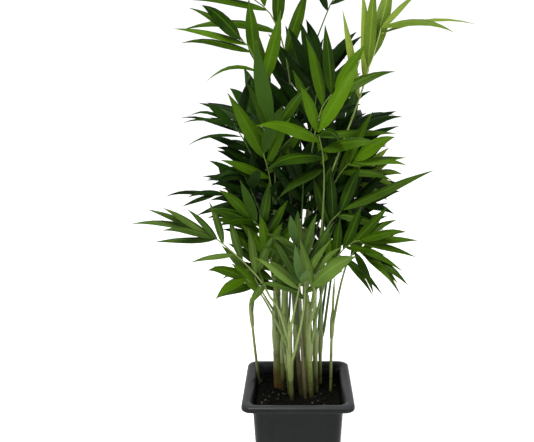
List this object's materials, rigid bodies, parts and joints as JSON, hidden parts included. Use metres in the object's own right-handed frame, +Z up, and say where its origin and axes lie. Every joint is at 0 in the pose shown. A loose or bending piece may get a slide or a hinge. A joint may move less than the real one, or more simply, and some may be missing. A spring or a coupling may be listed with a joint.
{
  "type": "potted palm",
  "caption": "Clump of slender palm canes with arching feather-shaped fronds of narrow green leaflets, growing from dark soil in a square tapered nursery pot.",
  "frame": {"origin": "centre of the pot's flat base, where it rests", "axes": "+Z up along the pot and the canes, -Y towards the front, +X to the right seen from the front"},
  "size_m": [0.3657, 0.29, 0.6394],
  "materials": {
    "pot": "satin",
    "soil": "matte",
    "cane": "satin",
    "leaf_dark": "satin",
    "leaf_mid": "satin",
    "leaf_pale": "satin"
  },
  "bodies": {
    "root": {"cane_back_left": "cane", "cane_back_right": "cane", "cane_brown": "cane", "cane_centre": "cane", "cane_centre_front": "cane", "cane_centre_left": "cane", "cane_centre_right": "cane", "cane_centre_slim": "cane", "cane_front_pale": "cane", "cane_left_green": "cane", "cane_left_thick": "cane", "cane_left_thin": "cane", "cane_mid_left": "cane", "cane_right": "cane", "cane_right_thin": "cane", "frond_back_centre": "leaf_dark", "frond_back_centre_high": "leaf_dark", "frond_back_centre_low": "leaf_dark", "frond_back_left_high": "leaf_dark", "frond_back_left_low": "leaf_dark", "frond_back_left_mid": "leaf_dark", "frond_back_right_high": "leaf_dark", "frond_back_right_low": "leaf_dark", "frond_back_right_mid": "leaf_dark", "frond_centre_fan": "leaf_mid", "frond_centre_top": "leaf_dark", "frond_front_left": "leaf_mid", "frond_front_left_low": "leaf_mid", "frond_front_low": "leaf_mid", "frond_inner_centre": "leaf_dark", "frond_inner_centre_deep": "leaf_dark", "frond_inner_high": "leaf_dark", "frond_inner_left": "leaf_dark", "frond_inner_left_deep": "leaf_dark", "frond_inner_left_low": "leaf_dark", "frond_inner_low_right": "leaf_dark", "frond_inner_right": "leaf_dark", "frond_inner_right_deep": "leaf_dark", "frond_left_fan": "leaf_mid", "frond_left_low": "leaf_pale", "frond_left_mid": "leaf_dark", "frond_left_mid_low": "leaf_dark", "frond_left_upright": "leaf_mid", "frond_left_wispy": "leaf_dark", "frond_low_broad": "leaf_pale", "frond_low_left": "leaf_mid", "frond_low_vee": "leaf_pale", "frond_pale_upright": "leaf_pale", "frond_right_drooping": "leaf_mid", "frond_right_long": "leaf_mid", "frond_right_low": "leaf_mid", "frond_right_mid": "leaf_dark", "frond_right_side": "leaf_mid", "frond_right_top": "leaf_pale", "frond_right_up": "leaf_mid", "frond_right_yellow": "leaf_pale", "frond_top_left": "leaf_mid", "frond_upper_left": "leaf_mid", "pot": "pot", "soil": "soil"}
  },
  "joints": []
}
